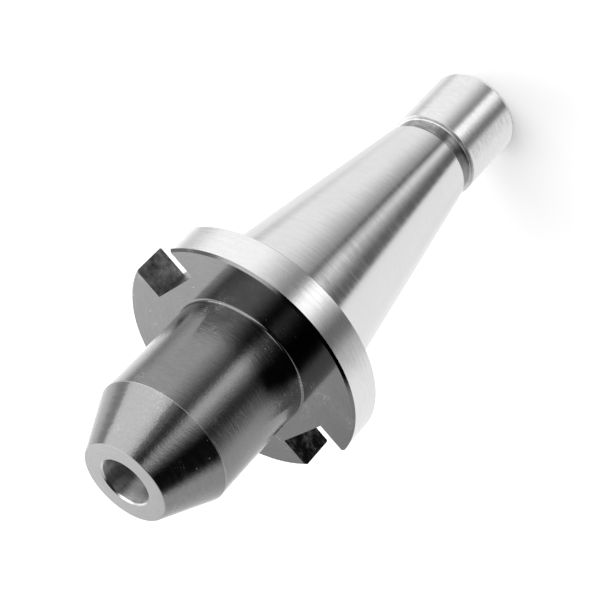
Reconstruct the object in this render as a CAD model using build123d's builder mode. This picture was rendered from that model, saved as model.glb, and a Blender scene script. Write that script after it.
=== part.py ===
from build123d import *
from math import radians, tan
import os

# An end mill holder with a steep taper shank, in millimetres.
# It stands on its pilot end: the axis is Z, the nose is up, and the origin is on the axis at the
# taper's gauge line. The drive slots lie along X, and the set screw comes in from +Y.

# Taper shank, from the flange's rear face to the pilot end
gauge_diameter = 44.45
taper_ratio = 7 / 24  # diameter lost for each unit of length
flange_to_gauge = 1.6
taper_length = 70.75
neck_depth = 0.94  # below the smaller of the taper's end and the pilot
neck_length = 4.4
pilot_diameter = 24.5
pilot_length = 20.1

# Flange and its drive slots
flange_diameter = 63.5
flange_thickness = 9.2
slot_width = 16.3
slot_floor = 22.6  # from the axis to the floor of a slot
slot_count = 2

# Nose: a cylinder that ends in a cone
nose_diameter = 35.05
nose_length = 42.75
nose_cone_length = 13.65
nose_face_diameter = 22.3

# Tool bore, reamed from the nose face
bore_diameter = 12.7
bore_depth = 50.8
drill_point_angle = 118

# Drawbar hole in the pilot end: the cone of a turning centre, a counterbore and a tapped hole
centre_diameter = 18.2
centre_angle = 60
counterbore_diameter = 16.5
counterbore_depth = 6.0
drawbar_drill_diameter = 13.49
drawbar_hole_depth = 57.15

# Set screw and its tapped hole, both left plain at the thread's pitch line
screw_from_face = 22.2
screw_thread_diameter = 10.287
screw_thread_clearance = 0.05
screw_length = 9.525
screw_to_bore = 0.4  # how far the backed-off point stands outside the bore's wall
screw_point_chamfer = 0.9
screw_top_chamfer = 0.6
socket_across_flats = 5.56
socket_depth = 4.6
screw_hole_break = 1.0
screw_hole_angle = 90
socket_sides = 6

# Edge breaks and corner radii
pilot_end_chamfer = 0.6
pilot_front_chamfer = 0.3
neck_fillet = 0.5
taper_end_chamfer = 0.2
flange_rear_chamfer = 0.3
flange_front_chamfer = 0.6
nose_root_fillet = 0.65
nose_shoulder_fillet = 1.0
nose_face_chamfer = 0.2
bore_mouth_chamfer = 0.46

# Heights along the axis, from the gauge line
flange_rear = flange_to_gauge
flange_front = flange_rear + flange_thickness
nose_face = flange_front + nose_length
nose_shoulder = nose_face - nose_cone_length
bore_bottom = nose_face - bore_depth
taper_end = flange_rear - taper_length
pilot_front = taper_end - neck_length
pilot_end = pilot_front - pilot_length
drawbar_bottom = pilot_end + drawbar_hole_depth
screw_height = nose_face - screw_from_face

# The set screw and its hole, from the axis outwards
screw_point = bore_diameter / 2 + screw_to_bore
screw_hole_radius = screw_thread_diameter / 2 + screw_thread_clearance

tolerance = 1e-4  # heights and radii that differ by less than this are the same


def taper_radius(height):
    """Radius of the taper at a height above the gauge line."""
    return (gauge_diameter + taper_ratio * height) / 2


def neck_radius():
    """The neck is turned below both of its neighbours."""
    return min(taper_radius(taper_end), pilot_diameter / 2) - neck_depth


def point_length(diameter):
    """Length of the cone that a drill leaves at the bottom of its hole."""
    return diameter / 2 / tan(radians(drill_point_angle / 2))


def rims(height, radius):
    """The body's round edges about the axis at one height and radius."""
    circles = body.edges().filter_by(GeomType.CIRCLE)
    at_height = circles.filter_by(lambda edge: abs(edge.arc_center.Z - height) < tolerance)
    return at_height.filter_by(lambda edge: abs(edge.radius - radius) < tolerance)


# The body is one turned, milled and ground piece
with BuildPart() as body:
    with BuildSketch(Plane.XZ):
        with BuildLine():
            Polyline(
                (0, pilot_end),
                (pilot_diameter / 2, pilot_end),
                (pilot_diameter / 2, pilot_front),
                (neck_radius(), pilot_front),
                (neck_radius(), taper_end),
                (taper_radius(taper_end), taper_end),
                (taper_radius(flange_rear), flange_rear),
                (flange_diameter / 2, flange_rear),
                (flange_diameter / 2, flange_front),
                (nose_diameter / 2, flange_front),
                (nose_diameter / 2, nose_shoulder),
                (nose_face_diameter / 2, nose_face),
                (0, nose_face),
                close=True,
            )
        make_face()
    revolve(axis=Axis.Z)

    # Corners and edges of the turned profile, from the pilot end to the nose face
    chamfer(rims(pilot_end, pilot_diameter / 2), pilot_end_chamfer)
    chamfer(rims(pilot_front, pilot_diameter / 2), pilot_front_chamfer)
    fillet(rims(pilot_front, neck_radius()), neck_fillet)
    fillet(rims(taper_end, neck_radius()), neck_fillet)
    chamfer(rims(taper_end, taper_radius(taper_end)), taper_end_chamfer)
    chamfer(rims(flange_rear, flange_diameter / 2), flange_rear_chamfer)
    chamfer(rims(flange_front, flange_diameter / 2), flange_front_chamfer)
    fillet(rims(flange_front, nose_diameter / 2), nose_root_fillet)
    fillet(rims(nose_shoulder, nose_diameter / 2), nose_shoulder_fillet)
    chamfer(rims(nose_face, nose_face_diameter / 2), nose_face_chamfer)

    # Drive slots, milled right through the flange and out past its rim
    with BuildSketch(Plane.XY.offset(flange_front)):
        with PolarLocations(slot_floor, slot_count):
            Rectangle(flange_diameter / 2, slot_width, align=(Align.MIN, Align.CENTER))
    extrude(amount=-flange_thickness, mode=Mode.SUBTRACT)

    # Tool bore, with the drill's cone at its bottom and a broken mouth
    with Locations((0, 0, nose_face)):
        Hole(bore_diameter / 2, depth=bore_depth)
    chamfer(rims(nose_face, bore_diameter / 2), bore_mouth_chamfer)
    with Locations(Plane(origin=(0, 0, bore_bottom), z_dir=(0, 0, -1))):
        Cone(
            bore_diameter / 2,
            0,
            point_length(bore_diameter),
            align=(Align.CENTER, Align.CENTER, Align.MIN),
            mode=Mode.SUBTRACT,
        )

    # Drawbar hole, entered through the counterbore and the centre's cone
    with Locations(Plane(origin=(0, 0, pilot_end), z_dir=(0, 0, -1))):
        CounterSinkHole(
            counterbore_diameter / 2,
            centre_diameter / 2,
            depth=counterbore_depth,
            counter_sink_angle=centre_angle,
        )
        Hole(drawbar_drill_diameter / 2, depth=drawbar_hole_depth)
    with Locations((0, 0, drawbar_bottom)):
        Cone(
            drawbar_drill_diameter / 2,
            0,
            point_length(drawbar_drill_diameter),
            align=(Align.CENTER, Align.CENTER, Align.MIN),
            mode=Mode.SUBTRACT,
        )

    # Tapped hole for the set screw, from the nose into the bore
    with Locations(Plane(origin=(0, nose_diameter / 2, screw_height), z_dir=(0, 1, 0))):
        CounterSinkHole(
            screw_hole_radius,
            screw_hole_radius + screw_hole_break,
            depth=nose_diameter / 2,
            counter_sink_angle=screw_hole_angle,
        )

# The set screw stands backed off, clear of the bore
with BuildPart(Plane(origin=(0, screw_point, screw_height), z_dir=(0, 1, 0))) as set_screw:
    Cylinder(
        screw_thread_diameter / 2,
        screw_length,
        align=(Align.CENTER, Align.CENTER, Align.MIN),
    )
    ends = set_screw.edges().filter_by(GeomType.CIRCLE).sort_by(Axis.Y)
    chamfer(ends[0], screw_point_chamfer)
    chamfer(ends[-1], screw_top_chamfer)
    with BuildSketch(set_screw.faces().sort_by(Axis.Y)[-1]):
        RegularPolygon(socket_across_flats / 2, socket_sides, major_radius=False)
    extrude(amount=-socket_depth, mode=Mode.SUBTRACT)

body.part.label = "body"
set_screw.part.label = "set_screw"

os.makedirs("parts", exist_ok=True)
export_step(body.part, "parts/body.step")
export_step(set_screw.part, "parts/set_screw.step")
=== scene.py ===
from math import atan2, cos, hypot, pi, radians, sin, tan

import bmesh
import bpy
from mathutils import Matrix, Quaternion, Vector


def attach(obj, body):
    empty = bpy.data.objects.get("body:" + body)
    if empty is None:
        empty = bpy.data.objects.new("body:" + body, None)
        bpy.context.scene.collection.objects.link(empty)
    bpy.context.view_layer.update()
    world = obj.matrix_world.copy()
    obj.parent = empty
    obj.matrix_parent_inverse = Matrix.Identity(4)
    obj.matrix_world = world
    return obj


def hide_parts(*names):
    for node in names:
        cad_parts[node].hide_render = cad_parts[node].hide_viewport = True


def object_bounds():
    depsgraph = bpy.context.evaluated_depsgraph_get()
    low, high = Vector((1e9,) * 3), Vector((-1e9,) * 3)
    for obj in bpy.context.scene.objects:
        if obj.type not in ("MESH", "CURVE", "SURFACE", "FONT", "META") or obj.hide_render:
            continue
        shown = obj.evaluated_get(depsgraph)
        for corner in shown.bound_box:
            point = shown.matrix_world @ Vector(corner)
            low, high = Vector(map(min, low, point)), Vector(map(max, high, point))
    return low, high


# An end mill holder: taper shank, slotted flange, black nose and set screw.
# Shapes are given in millimetres. Meshes are in metres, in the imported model's frame, and so are the
# looks' bump depths. Noise scales count per metre.
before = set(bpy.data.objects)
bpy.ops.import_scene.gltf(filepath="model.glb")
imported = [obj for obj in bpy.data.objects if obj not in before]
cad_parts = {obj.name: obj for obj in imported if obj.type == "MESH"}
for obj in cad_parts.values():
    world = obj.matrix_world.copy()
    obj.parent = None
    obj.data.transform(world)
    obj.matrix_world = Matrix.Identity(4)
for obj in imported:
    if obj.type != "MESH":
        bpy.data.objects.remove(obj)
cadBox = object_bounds()
mm = 0.001
print("frame loaded")


# Camera, fitted to the photograph
view = {
    "place": (70.84, -363.41, 236.90),
    "target": (-0.55, -0.11, -13.15),
    "roll": -136.78,  # degrees about the line of sight; the nose then points down to the left
    "lens": 112.68,
    "sensor": 36.0,
    "nearest": 10.0,
}
viewAzimuth = atan2(view["place"][1], view["place"][0])


def placeCamera():
    data = bpy.data.cameras.new("camera")
    data.lens = view["lens"]
    data.sensor_width = view["sensor"]
    data.clip_start = view["nearest"] * mm
    camera = bpy.data.objects.new("camera", data)
    bpy.context.scene.collection.objects.link(camera)
    place = Vector(view["place"]) * mm
    look = Vector(view["target"]) * mm - place
    level = look.to_track_quat("-Z", "Y")
    camera.location = place
    camera.rotation_mode = "QUATERNION"
    camera.rotation_quaternion = level @ Quaternion((0, 0, 1), radians(view["roll"]))
    bpy.context.scene.camera = camera


placeCamera()
print("camera placed")


# Shader maths: a Value wraps one output, and its operators add Math nodes
class Value:
    def __init__(self, tree, output):
        self.tree = tree
        self.output = output

    def maths(self, operation, *terms):
        return self.tree.node("ShaderNodeMath", {"operation": operation}, dict(enumerate(terms)))

    def __add__(self, other):
        return self.maths("ADD", self, other)

    def __radd__(self, other):
        return self.maths("ADD", other, self)

    def __sub__(self, other):
        return self.maths("SUBTRACT", self, other)

    def __rsub__(self, other):
        return self.maths("SUBTRACT", other, self)

    def __mul__(self, other):
        return self.maths("MULTIPLY", self, other)

    def __rmul__(self, other):
        return self.maths("MULTIPLY", other, self)

    def __truediv__(self, other):
        return self.maths("DIVIDE", self, other)

    def __rtruediv__(self, other):
        return self.maths("DIVIDE", other, self)

    def __pow__(self, other):
        return self.maths("POWER", self, other)

    def __gt__(self, other):
        return self.maths("GREATER_THAN", self, other)

    def __lt__(self, other):
        return self.maths("LESS_THAN", self, other)

    def __abs__(self):
        return self.maths("ABSOLUTE", self)

    def most(self, other):
        return self.maths("MAXIMUM", self, other)

    def rise(self, low, high, start=0.0, end=1.0):  # smooth step from start at low to end at high
        kind = {"interpolation_type": "SMOOTHSTEP"}
        names = ("Value", "From Min", "From Max", "To Min", "To Max")
        inputs = dict(zip(names, (self, low, high, start, end)))
        return self.tree.node("ShaderNodeMapRange", kind, inputs)


class Tree:
    def __init__(self, owner):
        owner.use_nodes = True
        self.nodes = owner.node_tree.nodes
        self.links = owner.node_tree.links
        self.nodes.clear()

    def node(self, kind, settings, inputs, output=0):
        made = self.nodes.new(kind)
        for name, setting in settings.items():
            setattr(made, name, setting)
        for name, value in inputs.items():
            if isinstance(value, Value):
                self.links.new(value.output, made.inputs[name])
            else:
                made.inputs[name].default_value = value
        return Value(self, made.outputs[output]) if made.outputs else None

    def split(self, vector):
        return [self.node("ShaderNodeSeparateXYZ", {}, {"Vector": vector}, axis) for axis in "XYZ"]

    def join(self, *parts):
        return self.node("ShaderNodeCombineXYZ", {}, dict(zip("XYZ", parts)))

    def noise(self, vector, scale, detail, roughness):
        sizes = {"Vector": vector, "Scale": scale, "Detail": detail, "Roughness": roughness}
        return self.node("ShaderNodeTexNoise", {}, sizes, "Fac")

    def blend(self, factor, first, second):  # colours, from first at 0 to second at 1
        inputs = {0: factor, 6: first, 7: second}  # a Mix node's sockets for colours
        return self.node("ShaderNodeMix", {"data_type": "RGBA"}, inputs, 2)

    def bump(self, height, depth, under=None):  # depth is what a height of 1 stands for, in metres
        inputs = {"Height": height, "Strength": 1.0, "Distance": depth}
        if under:
            inputs["Normal"] = under
        return self.node("ShaderNodeBump", {}, inputs)

    def surface(self, shader):
        self.node("ShaderNodeOutputMaterial", {}, {"Surface": shader})


def grey(level):
    return (level, level, level, 1.0)


# Patterns on Object coordinates. Turned lines run round the axis, close together along the outline.
turning = {
    "slope": 0.9,  # shifts the lines with the radius, so that flat faces have rings too
    "least": 0.0001,  # keeps the axis from dividing by nothing
}
acrossLines = 0.25  # a quarter turn, so that highlights spread along the axis


def objectPlace(tree):
    return tree.node("ShaderNodeTexCoord", {}, {}, "Object")


def turnedLines(tree, around, along, detail, roughness):
    x, y, z = tree.split(objectPlace(tree))
    radius = (x * x + y * y) ** 0.5
    reach = radius + turning["least"]
    height = (z + radius * turning["slope"]) * along
    place = tree.join(x / reach * around, y / reach * around, height)
    return tree.noise(place, 1.0, detail, roughness)


def mixed(noises, shares):  # the noises added up, each times its share
    terms = [noises[name] * share for name, share in shares.items()]
    total = terms[0]
    for term in terms[1:]:
        total = total + term
    return total


# Ground steel: the taper, and the rim and pilot
taperLook = {
    "dark": 0.72,
    "light": 0.762,
    "roughness": (0.12, 0.19),
    "anisotropy": 0.8,
    "grain": 2600.0,
    "grainDepth": 4e-6,
    "lineDepth": 9e-6,
}
rimLook = {
    "dark": 0.74,
    "light": 0.79,
    "roughness": (0.16, 0.28),
    "anisotropy": 0.85,
    "grain": 900.0,
    "grainDepth": 5e-6,
    "lineDepth": 3e-6,
}
groundPattern = {
    "lines": {"around": 3.0, "along": 1700.0, "detail": 2.0, "roughness": 0.6},
    "grain": {"detail": 1.0, "roughness": 0.4},
    "cloud": {"scale": 90.0, "detail": 3.0, "roughness": 0.6},
    "tone": {"lines": 0.45, "grain": 0.25, "cloud": 0.3},
    "toneSpan": (0.36, 0.64),
    "polish": {"cloud": 0.3, "lines": 0.7},
    "polishSpan": (0.35, 0.65),
}


def groundSteel(name, look):
    material = bpy.data.materials.new(name)
    tree = Tree(material)
    place = objectPlace(tree)
    pattern = groundPattern
    lines = turnedLines(tree, **pattern["lines"])
    grain = tree.noise(place, look["grain"], **pattern["grain"])
    noises = {"lines": lines, "grain": grain, "cloud": tree.noise(place, **pattern["cloud"])}
    tone = mixed(noises, pattern["tone"]).rise(*pattern["toneSpan"])
    polish = mixed(noises, pattern["polish"]).rise(*pattern["polishSpan"], *look["roughness"])
    grained = tree.bump(grain, look["grainDepth"])
    shader = tree.node("ShaderNodeBsdfPrincipled", {}, {
        "Base Color": tree.blend(tone, grey(look["dark"]), grey(look["light"])),
        "Metallic": 1.0,
        "Roughness": polish,
        "Anisotropic": look["anisotropy"],
        "Anisotropic Rotation": acrossLines,
        "Normal": tree.bump(lines, look["lineDepth"], grained),
    })
    tree.surface(shader)
    return material


# Black oxide: the nose, and the plain faces and breaks
noseLook = {
    "dark": 0.205,
    "light": 0.24,
    "roughness": (0.17, 0.24),
    "anisotropy": 0.9,
    "edgeTint": 1.0,
    "grainDepth": 17e-6,
    "lineDepth": 34e-6,
}
plainLook = {
    "dark": 0.157,
    "light": 0.182,
    "roughness": (0.07, 0.12),
    "anisotropy": 0.0,
    "edgeTint": 0.75,
    "grainDepth": 9e-6,
    "lineDepth": 1e-6,
}
oxidePattern = {
    "lines": {"around": 6.0, "along": 2200.0, "detail": 2.0, "roughness": 0.6},
    "grain": {"scale": 2500.0, "detail": 2.0, "roughness": 0.5},
    "cloud": {"scale": 120.0, "detail": 4.0, "roughness": 0.6},
    "tone": {"cloud": 0.35, "grain": 0.3, "lines": 0.35},
    "toneSpan": (0.36, 0.64),
    "polish": {"cloud": 0.5, "lines": 0.5},
    "polishSpan": (0.35, 0.65),
}
wearAndShoulderHighlight = {
    "tone": 0.5,
    "roughness": 0.35,  # added at the specks, scuffs and worn oxide, and at the painted highlight line on the nose's shoulder
    "edge": (0.12, 0.28),  # from the nose's shoulder, worn oxide lightened into a painted highlight line: bright up to the first, gone at the second
    "ragged": 0.2,
}
speck = {
    "spacing": 330.0,  # cells per metre
    "share": 0.70,  # of the cells that have none
    "size": 0.055,  # of a cell
}
scuff = {"patch": (0.58, 0.66), "fleck": 0.57, "strength": 0.4}


def blackOxide(name, look):
    material = bpy.data.materials.new(name)
    tree = Tree(material)
    place = objectPlace(tree)
    pattern = oxidePattern
    lines = turnedLines(tree, **pattern["lines"])
    grain = tree.noise(place, **pattern["grain"])
    cloud = tree.noise(place, **pattern["cloud"])
    noises = {"lines": lines, "grain": grain, "cloud": cloud}
    cells = {"Vector": place, "Scale": speck["spacing"], "Randomness": 1.0}
    distance = tree.node("ShaderNodeTexVoronoi", {}, cells, "Distance")
    chance = tree.split(tree.node("ShaderNodeTexVoronoi", {}, cells, "Color"))[0]
    specks = (distance < speck["size"]) * (chance > speck["share"])
    scuffs = cloud.rise(*scuff["patch"]) * (grain > scuff["fleck"]) * scuff["strength"]
    height = tree.split(place)[2]
    # worn oxide along the nose's shoulder, made light enough to paint the shoulder's highlight line
    fromEdge = abs(height - holder["noseShoulder"] * mm) + grain * (wearAndShoulderHighlight["ragged"] * mm)
    bright, gone = wearAndShoulderHighlight["edge"]
    marksAndShoulderHighlight = specks.most(scuffs).most(fromEdge.rise(bright * mm, gone * mm, 1.0, 0.0))
    tone = mixed(noises, pattern["tone"]).rise(*pattern["toneSpan"])
    colour = tree.blend(tone, grey(look["dark"]), grey(look["light"]))
    polish = mixed(noises, pattern["polish"]).rise(*pattern["polishSpan"], *look["roughness"])
    lined = tree.bump(lines, look["lineDepth"])
    shader = tree.node("ShaderNodeBsdfPrincipled", {}, {
        "Base Color": tree.blend(marksAndShoulderHighlight, colour, grey(wearAndShoulderHighlight["tone"])),
        "Metallic": 1.0,
        "Roughness": polish + marksAndShoulderHighlight * wearAndShoulderHighlight["roughness"],
        "Specular Tint": grey(look["edgeTint"]),
        "Anisotropic": look["anisotropy"],
        "Anisotropic Rotation": acrossLines,
        "Normal": tree.bump(grain, look["grainDepth"], lined),
    })
    tree.surface(shader)
    return material


# Turned, faced and reamed metal that has neither been ground nor polished
facedLook = {
    "dark": 0.28,
    "light": 0.305,
    "roughness": (0.26, 0.32),
    "anisotropy": 0.0,
    "lineDepth": 0.6e-6,
}
neckLook = {
    "dark": 0.19,
    "light": 0.41,
    "roughness": (0.22, 0.32),
    "anisotropy": 1.0,
    "lineDepth": 4e-6,
}
edgeLook = {
    "dark": 0.50,
    "light": 0.80,
    "roughness": (0.42, 0.58),
    "anisotropy": 0.0,
    "lineDepth": 6e-6,
}
reamedLook = {
    "dark": 0.42,
    "light": 0.62,
    "roughness": (0.50, 0.60),
    "anisotropy": 1.0,
    "lineDepth": 2e-6,
}
mouthLook = {
    "dark": 0.40,
    "light": 0.75,
    "roughness": (0.22, 0.36),
    "anisotropy": 0.0,
    "lineDepth": 4e-6,
}
turnedPattern = {
    "lines": {"around": 1.5, "along": 3000.0, "detail": 3.0, "roughness": 0.6},
    "cloud": {"scale": 250.0, "detail": 3.0, "roughness": 0.6},
    "tone": {"lines": 0.5, "cloud": 0.5},
    "toneSpan": (0.38, 0.62),
    "polishSpan": (0.35, 0.65),
}


def turnedSteel(name, look):
    material = bpy.data.materials.new(name)
    tree = Tree(material)
    pattern = turnedPattern
    lines = turnedLines(tree, **pattern["lines"])
    cloud = tree.noise(objectPlace(tree), **pattern["cloud"])
    tone = mixed({"lines": lines, "cloud": cloud}, pattern["tone"]).rise(*pattern["toneSpan"])
    shader = tree.node("ShaderNodeBsdfPrincipled", {}, {
        "Base Color": tree.blend(tone, grey(look["dark"]), grey(look["light"])),
        "Metallic": 1.0,
        "Roughness": cloud.rise(*pattern["polishSpan"], *look["roughness"]),
        "Anisotropic": look["anisotropy"],
        "Anisotropic Rotation": acrossLines,
        "Normal": tree.bump(lines, look["lineDepth"]),
    })
    tree.surface(shader)
    return material


# Milled and blackened: the two slots and the set screw's hole
milledLook = {
    "dark": 0.008,
    "light": 0.15,
    "fleck": 0.30,
    "roughness": (0.30, 0.50),
    "lineDepth": 3e-6,
    "grainDepth": 3e-6,
}
milledPattern = {
    "grain": {"scale": 1800.0, "detail": 3.0, "roughness": 0.7},
    "stain": {"scale": 260.0, "detail": 3.0, "roughness": 0.6},
    "passes": {"scale": 1.0, "detail": 2.0, "roughness": 0.6},
    "passesAcross": 400.0,
    "passesAlong": 2400.0,
    "tone": {"grain": 0.25, "passes": 0.2, "stain": 0.55},
    "toneSpan": (0.40, 0.62),
    "flecks": {"stain": 0.5, "grain": 0.5},
    "fleckSpan": (0.58, 0.66),
    "polishSpan": (0.3, 0.7),
    "paintedSlotShade": 0.055,  # painted shade: how much darker the -X slot is made, and lighter the other, as light falls differently in the two slots
    "paintedSlotShadeFlecks": 0.5,  # how much of that painted shade reaches the flecks
}


def milledOxide(name, look):
    material = bpy.data.materials.new(name)
    tree = Tree(material)
    place = objectPlace(tree)
    pattern = milledPattern
    x, y, z = tree.split(place)
    across, along = pattern["passesAcross"], pattern["passesAlong"]
    grain = tree.noise(place, **pattern["grain"])
    passes = tree.noise(tree.join(x * across, y * across, z * along), **pattern["passes"])
    noises = {"grain": grain, "passes": passes, "stain": tree.noise(place, **pattern["stain"])}
    reach = slots["floor"] * mm
    # painted shade: the -X slot is darkened and the +X slot lightened, as light falls differently in
    # them
    slotShade = x.rise(-reach, reach, pattern["paintedSlotShade"], -pattern["paintedSlotShade"])
    tone = (mixed(noises, pattern["tone"]) - slotShade).rise(*pattern["toneSpan"])
    flecks = mixed(noises, pattern["flecks"]) - slotShade * pattern["paintedSlotShadeFlecks"]
    colour = tree.blend(tone, grey(look["dark"]), grey(look["light"]))
    lined = tree.bump(passes, look["lineDepth"])
    shader = tree.node("ShaderNodeBsdfPrincipled", {}, {
        "Base Color": tree.blend(flecks.rise(*pattern["fleckSpan"]), colour, grey(look["fleck"])),
        "Metallic": 1.0,
        "Roughness": grain.rise(*pattern["polishSpan"], *look["roughness"]),
        "Normal": tree.bump(grain, look["grainDepth"], lined),
    })
    tree.surface(shader)
    return material


# Solids: an outline turned about Z, and cutters taken away from it
facets = {"round": 256, "thread": 64, "small": 96}  # in a full turn
past = {"body": 2.0, "screw": 1.0}  # how far a cutter stands past the surface
touching = 0.001  # points of an outline that are this near become one
weld = 0.003  # the same after the cuts, which leave some corners double
crease = 28  # degrees between two faces, from which their edge is sharp
thread = {
    "flank": 30,  # degrees from square to the axis
    "rootFlat": 1 / 8,  # of the pitch
}


def turned(corners, steps):  # corners are (radius, height, size of the edge break, steps in it)
    bm = bmesh.new()
    points = [bm.verts.new((corner[0] * mm, 0, corner[1] * mm)) for corner in corners]
    for pair in zip(points, points[1:]):
        bm.edges.new(pair)
    for point, corner in zip(points, corners):
        if len(corner) > 2:
            bmesh.ops.bevel(bm, geom=[point], offset=corner[2] * mm, offset_type="OFFSET",
                            affect="VERTICES", segments=corner[3], profile=0.5, material=-1)
    bmesh.ops.spin(bm, geom=bm.verts[:] + bm.edges[:], cent=(0, 0, 0), axis=(0, 0, 1),
                   angle=2 * pi, steps=steps, use_merge=True)
    bmesh.ops.remove_doubles(bm, verts=bm.verts[:], dist=touching * mm)
    bmesh.ops.recalc_face_normals(bm, faces=bm.faces[:])
    return bm


# A helical groove between two heights. wall and root are radii, and over is how far the tool stands
# out of the metal at the wall, positive in a hole and negative on a screw.
def threadGroove(wall, root, pitch, low, high, over):
    bm = bmesh.new()
    mouth = wall - over
    rootHalf = pitch * thread["rootFlat"] / 2
    mouthHalf = rootHalf + abs(root - mouth) * tan(radians(thread["flank"]))
    section = ((mouth, -mouthHalf), (root, -rootHalf), (root, rootHalf), (mouth, mouthHalf))
    points = [bm.verts.new((radius * mm, 0, (low + height) * mm)) for radius, height in section]
    for index, point in enumerate(points):
        bm.edges.new((points[index - 1], point))
    turns = (high - low) / pitch
    steps = round(turns * facets["thread"])
    bmesh.ops.spin(bm, geom=bm.verts[:] + bm.edges[:], cent=(0, 0, 0), axis=(0, 0, 1),
                   dvec=(0, 0, (high - low) / steps * mm), angle=turns * 2 * pi, steps=steps)
    bmesh.ops.holes_fill(bm, edges=[edge for edge in bm.edges if edge.is_boundary], sides=4)
    bmesh.ops.recalc_face_normals(bm, faces=bm.faces[:])
    return bm


def aimAlongY(bm, height):  # turns a tool that was made on Z to come in from +Y
    bmesh.ops.rotate(bm, verts=bm.verts[:], cent=(0, 0, 0),
                     matrix=Quaternion((1, 0, 0), -pi / 2).to_matrix())
    bmesh.ops.translate(bm, verts=bm.verts[:], vec=(0, 0, height * mm))


def asObject(name, bm):
    mesh = bpy.data.meshes.new(name)
    bm.to_mesh(mesh)
    bm.free()
    made = bpy.data.objects.new(name, mesh)
    bpy.context.scene.collection.objects.link(made)
    return made


def cutAway(piece, cutters):
    for number, bm in enumerate(cutters):
        modifier = piece.modifiers.new("cut", "BOOLEAN")
        modifier.operation = "DIFFERENCE"
        modifier.solver = "EXACT"
        modifier.object = asObject(f"cutter{number}", bm)
    settle(piece)


def settle(piece):  # the modifiers' result becomes the mesh, and their cutters go
    tools = [modifier.object for modifier in piece.modifiers if modifier.type == "BOOLEAN"]
    bpy.context.view_layer.update()
    graph = bpy.context.evaluated_depsgraph_get()
    mesh = bpy.data.meshes.new_from_object(piece.evaluated_get(graph))
    piece.modifiers.clear()
    piece.data = mesh
    mesh.name = piece.name
    for tool in tools:
        bpy.data.objects.remove(tool)


def welded(piece):
    bm = bmesh.new()
    bm.from_mesh(piece.data)
    bmesh.ops.remove_doubles(bm, verts=bm.verts[:], dist=weld * mm)
    bmesh.ops.dissolve_degenerate(bm, edges=bm.edges[:], dist=weld * mm)
    bmesh.ops.recalc_face_normals(bm, faces=bm.faces[:])
    return bm


def shadeTurned(piece):  # smooth, but sharp at real edges; big faces keep their own direction
    piece.data.shade_smooth()
    piece.data.set_sharp_from_angle(angle=radians(crease))
    modifier = piece.modifiers.new("faceWeights", "WEIGHTED_NORMAL")
    modifier.keep_sharp = True
    settle(piece)


# Body: one turned, milled and ground piece
holder = {
    "gaugeDiameter": 44.45,
    "taperRatio": 7 / 24,
    "flangeRear": 1.6,
    "taperEnd": -69.15,
    "taperEndBreak": 0.2,
    "neckRadius": 11.198,
    "neckFillet": 0.5,
    "pilotFillet": 0.3,
    "pilotRadius": 12.25,
    "pilotFront": -73.55,
    "pilotEnd": -93.65,
    "pilotFrontBreak": 0.2,
    "pilotEndBreak": 0.6,
    "flangeRadius": 31.75,
    "flangeFront": 10.8,
    "flangeFrontBreak": 0.6,
    "flangeRearBreak": 0.3,
    "noseRadius": 17.525,
    "noseRootFillet": 0.65,
    "noseShoulder": 39.9,
    "shoulderBreak": 0.22,  # a radius of 1 mm starts this far from the corner
    "noseFace": 53.55,
    "noseFaceRadius": 11.15,
    "noseFaceBreak": 0.2,
    "roundSteps": 8,
}
bore = {"radius": 6.35, "bottom": 2.75, "mouthBreak": 0.40, "drillPoint": 118}
slots = {"width": 16.3, "floor": 22.6}
drawbar = {
    "centreRadius": 9.1,
    "counterboreRadius": 8.25,
    "centreAngle": 60,
    "counterboreDepth": 6.0,
    "drillRadius": 6.745,
    "depth": 57.15,
    "threadRadius": 7.9375,
    "pitch": 25.4 / 11,
    "threadLength": 44.0,
    "threadOver": 0.25,
}
screwHole = {
    "height": 31.35,
    "radius": 5.1935,
    "mouthBreak": 1.0,
    "threadRadius": 5.556,
    "pitch": 1.27,
    "threadOver": 0.1,
}


def taperRadius(height):
    return (holder["gaugeDiameter"] + holder["taperRatio"] * height) / 2


def drillPointLength(radius):
    return radius / tan(radians(bore["drillPoint"] / 2))


def bodyCorners():
    h = holder
    half = tan(radians(drawbar["centreAngle"] / 2))
    centreDepth = (drawbar["centreRadius"] - drawbar["counterboreRadius"]) / half
    drawbarBottom = h["pilotEnd"] + drawbar["depth"]
    drill = drawbar["drillRadius"]
    return [
        (0, bore["bottom"] - drillPointLength(bore["radius"])),
        (bore["radius"], bore["bottom"]),
        (bore["radius"], h["noseFace"], bore["mouthBreak"], 1),
        (h["noseFaceRadius"], h["noseFace"], h["noseFaceBreak"], 2),
        (h["noseRadius"], h["noseShoulder"], h["shoulderBreak"], 4),
        (h["noseRadius"], h["flangeFront"], h["noseRootFillet"], h["roundSteps"]),
        (h["flangeRadius"], h["flangeFront"], h["flangeFrontBreak"], 1),
        (h["flangeRadius"], h["flangeRear"], h["flangeRearBreak"], 1),
        (taperRadius(h["flangeRear"]), h["flangeRear"]),
        (taperRadius(h["taperEnd"]), h["taperEnd"], h["taperEndBreak"], 2),
        (h["neckRadius"], h["taperEnd"], h["neckFillet"], h["roundSteps"]),
        (h["neckRadius"], h["pilotFront"], h["pilotFillet"], h["roundSteps"]),
        (h["pilotRadius"], h["pilotFront"], h["pilotFrontBreak"], 2),
        (h["pilotRadius"], h["pilotEnd"], h["pilotEndBreak"], 1),
        (drawbar["centreRadius"], h["pilotEnd"]),
        (drawbar["counterboreRadius"], h["pilotEnd"] + centreDepth),
        (drawbar["counterboreRadius"], h["pilotEnd"] + drawbar["counterboreDepth"]),
        (drill, h["pilotEnd"] + drawbar["counterboreDepth"]),
        (drill, drawbarBottom),
        (0, drawbarBottom + drillPointLength(drill)),
    ]


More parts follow.
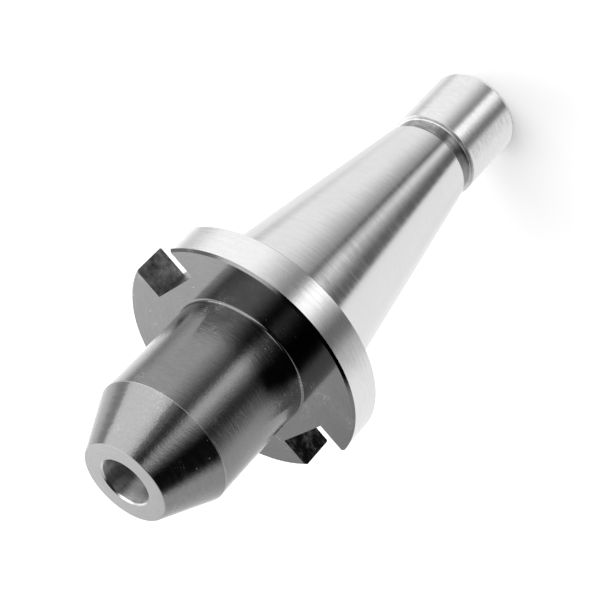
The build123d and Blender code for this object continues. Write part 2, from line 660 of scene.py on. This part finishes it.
def slotCutter(side):
    bm = bmesh.new()
    outer = holder["flangeRadius"] + past["body"]
    low = holder["flangeRear"] - past["body"]
    high = holder["flangeFront"] + past["body"]
    extent = (outer - slots["floor"], slots["width"], high - low)
    middle = Vector((side * (slots["floor"] + outer) / 2, 0, (low + high) / 2)) * mm
    bmesh.ops.create_cube(bm, size=mm)
    bmesh.ops.scale(bm, verts=bm.verts[:], vec=extent)
    bmesh.ops.translate(bm, verts=bm.verts[:], vec=middle)
    return bm


def screwHoleCutters():
    surface = holder["noseRadius"]
    outer = surface + past["body"]
    mouth = screwHole["radius"] + screwHole["mouthBreak"]
    drill = turned([
        (0, 0),
        (screwHole["radius"], 0),
        (screwHole["radius"], surface - screwHole["mouthBreak"]),
        (mouth, surface),
        (mouth, outer),
        (0, outer),
    ], facets["small"])
    start = bore["radius"] - 2 * screwHole["pitch"]
    groove = threadGroove(screwHole["radius"], screwHole["threadRadius"], screwHole["pitch"],
                          start, outer, screwHole["threadOver"])
    for tool in (drill, groove):
        aimAlongY(tool, screwHole["height"])
    return [drill, groove]


def drawbarThread():
    start = holder["pilotEnd"] + drawbar["counterboreDepth"] - drawbar["pitch"]
    return threadGroove(drawbar["drillRadius"], drawbar["threadRadius"], drawbar["pitch"],
                        start, start + drawbar["threadLength"], drawbar["threadOver"])


# Each machined surface's finish
finishes = {
    "noseOxide": (blackOxide, noseLook),
    "plainOxide": (blackOxide, plainLook),
    "groundTaper": (groundSteel, taperLook),
    "groundRim": (groundSteel, rimLook),
    "facedTip": (turnedSteel, facedLook),
    "turnedNeck": (turnedSteel, neckLook),
    "brightEdge": (turnedSteel, edgeLook),
    "reamedBore": (turnedSteel, reamedLook),
    "brokenMouth": (turnedSteel, mouthLook),
    "milledOxide": (milledOxide, milledLook),
}
sorting = {
    "near": 0.01,  # how far past a surface's limit a face's middle may be
    "rimNear": 0.05,
    "inwards": -0.5,  # how a face points against the radius, where 1 is straight out
    "outwards": 0.9,
    "straightOut": 0.99,
}


def finishOf(face):  # from where the face is and which way it points
    x, y, z = face.calc_center_median() / mm
    near = sorting["near"]
    radius = hypot(x, y)
    outward = (x * face.normal.x + y * face.normal.y) / max(radius, near)
    boreEnd = bore["bottom"] - drillPointLength(bore["radius"])
    if radius < bore["radius"] + near and z > boreEnd - near:
        return "reamedBore"
    if z > holder["noseFace"] - bore["mouthBreak"] and outward < sorting["inwards"]:
        return "brokenMouth"
    if z > holder["noseFace"] - holder["noseFaceBreak"] - near:
        return "facedTip"
    if abs(x) > slots["floor"] - near and abs(y) < slots["width"] / 2 + near:
        return "milledOxide"
    skin = radius > holder["noseRadius"] - near and outward > sorting["straightOut"]
    mouth = screwHole["radius"] + screwHole["mouthBreak"]
    if y > 0 and not skin and hypot(x, z - screwHole["height"]) < mouth + near:
        return "milledOxide"
    if radius > holder["flangeRadius"] - sorting["rimNear"] and outward > sorting["outwards"]:
        return "groundRim"
    if holder["flangeRear"] - near > z and outward > -near:
        if z > holder["taperEnd"]:
            return "groundTaper"
        shoulder = z - holder["pilotFront"]
        if shoulder > holder["pilotFillet"]:
            return "turnedNeck"
        return "brightEdge" if shoulder > -holder["pilotFrontBreak"] else "groundRim"
    return "noseOxide" if radius < holder["noseRadius"] + near else "plainOxide"


def makeBody():
    piece = asObject("holderBody", turned(bodyCorners(), facets["round"]))
    cutAway(piece, [slotCutter(1), slotCutter(-1), drawbarThread(), *screwHoleCutters()])
    piece.data.materials.clear()
    for name, (finish, look) in finishes.items():
        piece.data.materials.append(finish(name, look))
    order = list(finishes)
    bm = welded(piece)
    for face in bm.faces:
        face.material_index = order.index(finishOf(face))
    print("body faces", len(bm.faces), "open edges", sum(edge.is_boundary for edge in bm.edges))
    bm.to_mesh(piece.data)
    bm.free()
    shadeTurned(piece)
    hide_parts("body")
    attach(piece, "body")


makeBody()
print("body made")


# Set screw, backed off from the bore
screw = {
    "radius": 5.1435,
    "rootRadius": 4.75,
    "length": 9.525,
    "point": 6.75,  # from the holder's axis
    "pointBreak": 0.9,
    "topBreak": 0.6,
    "socketSides": 6,
    "socketAcross": 5.56,
    "socketDepth": 4.6,
    "socketMouth": 0.25,
    "threadOver": -0.15,
}
screwLook = {
    "dark": 0.07,
    "light": 0.14,
    "roughness": (0.25, 0.38),
    "anisotropy": 0.0,
    "lineDepth": 1.5e-6,
}


def socketCorner():  # how far the socket's corners are from its middle
    return screw["socketAcross"] / 2 / cos(pi / screw["socketSides"])


def socketCutter():
    bm = bmesh.new()
    corner = socketCorner() * mm
    length = screw["socketDepth"] + past["screw"]
    bmesh.ops.create_cone(bm, cap_ends=True, segments=screw["socketSides"],
                          radius1=corner, radius2=corner, depth=length * mm)
    centre = screw["length"] + past["screw"] - length / 2
    bmesh.ops.translate(bm, verts=bm.verts[:], vec=(0, 0, centre * mm))
    return bm


def socketMouthCutter():
    top = screw["length"]
    outer = top + past["screw"]
    wide = socketCorner() + screw["socketMouth"]
    return turned([(0, top - wide), (wide, top), (wide, outer), (0, outer)], facets["small"])


def makeScrew():
    corners = [
        (0, 0),
        (screw["radius"], 0, screw["pointBreak"], 1),
        (screw["radius"], screw["length"], screw["topBreak"], 1),
        (0, screw["length"]),
    ]
    piece = asObject("setScrew", turned(corners, facets["small"]))
    groove = threadGroove(screw["radius"], screw["rootRadius"], screwHole["pitch"],
                          -screwHole["pitch"], screw["length"] + screwHole["pitch"],
                          screw["threadOver"])
    cutAway(piece, [groove, socketCutter(), socketMouthCutter()])
    bm = welded(piece)
    aimAlongY(bm, screwHole["height"])
    bmesh.ops.translate(bm, verts=bm.verts[:], vec=(0, screw["point"] * mm, 0))
    print("screw faces", len(bm.faces), "open edges", sum(edge.is_boundary for edge in bm.edges))
    bm.to_mesh(piece.data)
    bm.free()
    shadeTurned(piece)
    piece.data.materials.clear()
    piece.data.materials.append(turnedSteel("screwOxide", screwLook))
    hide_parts("set_screw")
    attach(piece, "set_screw")


makeScrew()
print("set screw made")


# Floor and light: a white studio with dark gaps beside the camera, as the bright steel mirrors them
floorLook = {
    "radius": 4000.0,
    "gap": 0.02,  # under the pilot end
    "colour": 0.93,
    "lift": 0.22,  # glow that only the camera sees, which brings the floor to white
}


def makeFloor():
    bm = bmesh.new()
    radius = floorLook["radius"] * mm
    level = cadBox[0][2] - floorLook["gap"] * mm
    bmesh.ops.create_circle(bm, cap_ends=True, segments=facets["small"], radius=radius)
    bmesh.ops.translate(bm, verts=bm.verts[:], vec=(0, 0, level))
    floor = asObject("floor", bm)
    material = bpy.data.materials.new("paleFloor")
    tree = Tree(material)
    seen = tree.node("ShaderNodeLightPath", {}, {}, "Is Camera Ray")
    mirrored = tree.node("ShaderNodeLightPath", {}, {}, "Is Glossy Ray")
    pale = tree.node("ShaderNodeBsdfDiffuse", {}, {"Color": grey(floorLook["colour"])})
    glow = tree.node("ShaderNodeEmission", {}, {"Strength": floorLook["lift"]})
    lifted = tree.node("ShaderNodeAddShader", {}, {0: pale, 1: glow})
    lit = tree.node("ShaderNodeMixShader", {}, {0: seen, 1: pale, 2: lifted})
    clear = tree.node("ShaderNodeBsdfTransparent", {}, {})
    tree.surface(tree.node("ShaderNodeMixShader", {}, {0: mirrored, 1: lit, 2: clear}))
    floor.data.materials.append(material)


# The studio is white with soft dark gaps and brighter panels, which the steel mirrors. Each is a
# window of direction. Its edges are where it starts, is full, ends being full and stops, in degrees
# from the camera's side, with its left as positive. A gain of 0 changes nothing and -1 is black.
# Edges and gain change with the height of the direction, where 1 is straight up.
windows = {
    "right gap": [
        {"height": -0.74, "edges": (-60, -49, -38, 8), "gain": -0.88},
        {"height": -0.68, "edges": (-65, -48, -42, -20), "gain": -0.72},
        {"height": -0.56, "edges": (-61, -48, -38, -18), "gain": -0.67},
        {"height": -0.53, "edges": (-80, -54, -38, -12), "gain": -0.93},
        {"height": -0.50, "edges": (-90, -58, -38, -5), "gain": -0.99},
        {"height": 0.10, "edges": (-97, -73, -40, -6), "gain": -0.99},
    ],
    "left gap": [
        {"height": -0.74, "edges": (-12, 10, -5, 75), "gain": -0.8},
        {"height": -0.68, "edges": (-1, 12, 15, 46), "gain": -0.53},
        {"height": -0.545, "edges": (-2, 8, 8, 29), "gain": -0.72},
        {"height": -0.50, "edges": (-8, 9, 10, 46), "gain": -0.85},
    ],
    "bar between them": [
        {"height": -0.84, "edges": (-26, -13, -4, 6), "gain": 0.35},
        {"height": -0.78, "edges": (-26, -13, -4, 6), "gain": -0.42},
        {"height": -0.70, "edges": (-26, -13, -4, 6), "gain": 0.35},
        {"height": -0.545, "edges": (-26, -13, -4, 6), "gain": 0.65},
        {"height": -0.50, "edges": (-20, -10, -3, 5), "gain": 0.5},
        {"height": 0.10, "edges": (-26, -13, -4, 6), "gain": 0.6},
    ],
    "edge of the bar": [
        {"height": -0.78, "edges": (2, 8, 10, 17), "gain": -0.4},
        {"height": -0.74, "edges": (2, 8, 10, 17), "gain": 0.0},
    ],
    "left side": [
        {"height": -0.74, "edges": (30, 50, 88, 102), "gain": 0.0},
        {"height": -0.50, "edges": (30, 50, 88, 102), "gain": 0.2},
    ],
    "far left dip": [
        {"height": -0.76, "edges": (98, 110, 118, 130), "gain": 0.0},
        {"height": -0.66, "edges": (98, 110, 118, 130), "gain": -0.3},
    ],
    "rear left": [
        {"height": -0.62, "edges": (116, 134, 156, 196), "gain": 0.0},
        {"height": -0.48, "edges": (112, 132, 176, 214), "gain": 0.95},
        {"height": -0.34, "edges": (100, 140, 170, 214), "gain": 0.4},
        {"height": 0.30, "edges": (100, 140, 170, 214), "gain": 0.3},
        {"height": 0.46, "edges": (112, 132, 174, 186), "gain": 1.15},
    ],
    "rear right": [
        {"height": -0.76, "edges": (-190, -165, -140, -110), "gain": -0.15},
        {"height": -0.66, "edges": (-190, -165, -140, -110), "gain": 0.0},
    ],
    "above the camera": [
        {"height": 0.38, "edges": (-98, -82, 13, 24), "gain": 0.0},
        {"height": 0.46, "edges": (-98, -82, 13, 24), "gain": -0.99},
    ],
    "above the left": [
        {"height": 0.44, "edges": (16, 30, 90, 115), "gain": 0.0},
        {"height": 0.52, "edges": (16, 30, 90, 115), "gain": -0.4},
        {"height": 0.60, "edges": (16, 30, 90, 115), "gain": -0.4},
        {"height": 0.68, "edges": (16, 30, 90, 115), "gain": 1.2},
    ],
}


def atHeight(z, heights, amounts):  # goes smoothly from amount to amount as z rises
    amount = amounts[0]
    for low, high, before, after in zip(heights, heights[1:], amounts, amounts[1:]):
        if before != after:
            amount = amount + z.rise(low, high) * (after - before)
    return amount


def makeStudio():
    world = bpy.data.worlds.new("studio")
    bpy.context.scene.world = world
    tree = Tree(world)
    x, y, z = tree.split(tree.node("ShaderNodeTexCoord", {}, {}, "Generated"))
    total = 1.0
    for levels in windows.values():
        heights = [level["height"] for level in levels]
        # Angles are taken from the window's middle, so that they jump at the far side from it
        middle = sum(levels[0]["edges"]) / len(levels[0]["edges"])
        turn = viewAzimuth + radians(middle)
        towards = x * cos(turn) + y * sin(turn)
        leftwards = y * cos(turn) - x * sin(turn)
        angle = leftwards.maths("ARCTAN2", leftwards, towards) * (180 / pi) + middle
        starts, full, ends, stops = [
            atHeight(z, heights, amounts) for amounts in zip(*[level["edges"] for level in levels])
        ]
        gain = atHeight(z, heights, [level["gain"] for level in levels])
        total = total * (1.0 + angle.rise(starts, full) * angle.rise(ends, stops, 1.0, 0.0) * gain)
    seen = tree.node("ShaderNodeLightPath", {}, {}, "Is Camera Ray")
    strength = total * (1.0 - seen) + seen
    background = tree.node("ShaderNodeBackground", {}, {"Color": grey(1.0), "Strength": strength})
    tree.node("ShaderNodeOutputWorld", {}, {"Surface": background})


panel = {
    "angle": 66.0,  # degrees from the camera's side, to its left
    "height": 16.0,  # degrees above the horizon
    "distance": 1000.0,
    "size": (1400.0, 620.0),
    "radiance": 1.2,
}


def makePanel():
    data = bpy.data.lights.new("panel", "AREA")
    data.shape = "RECTANGLE"
    data.size = panel["size"][0] * mm
    data.size_y = panel["size"][1] * mm
    data.energy = panel["radiance"] * pi * data.size * data.size_y
    lamp = bpy.data.objects.new("panel", data)
    bpy.context.scene.collection.objects.link(lamp)
    azimuth = viewAzimuth + radians(panel["angle"])
    height = radians(panel["height"])
    away = Vector((cos(azimuth) * cos(height), sin(azimuth) * cos(height), sin(height)))
    lamp.location = away * panel["distance"] * mm
    lamp.rotation_mode = "QUATERNION"
    lamp.rotation_quaternion = (-away).to_track_quat("-Z", "Y")
    lamp.visible_camera = False


makeFloor()
makeStudio()
makePanel()
bpy.context.scene.view_settings.view_transform = "Standard"
print("studio made")
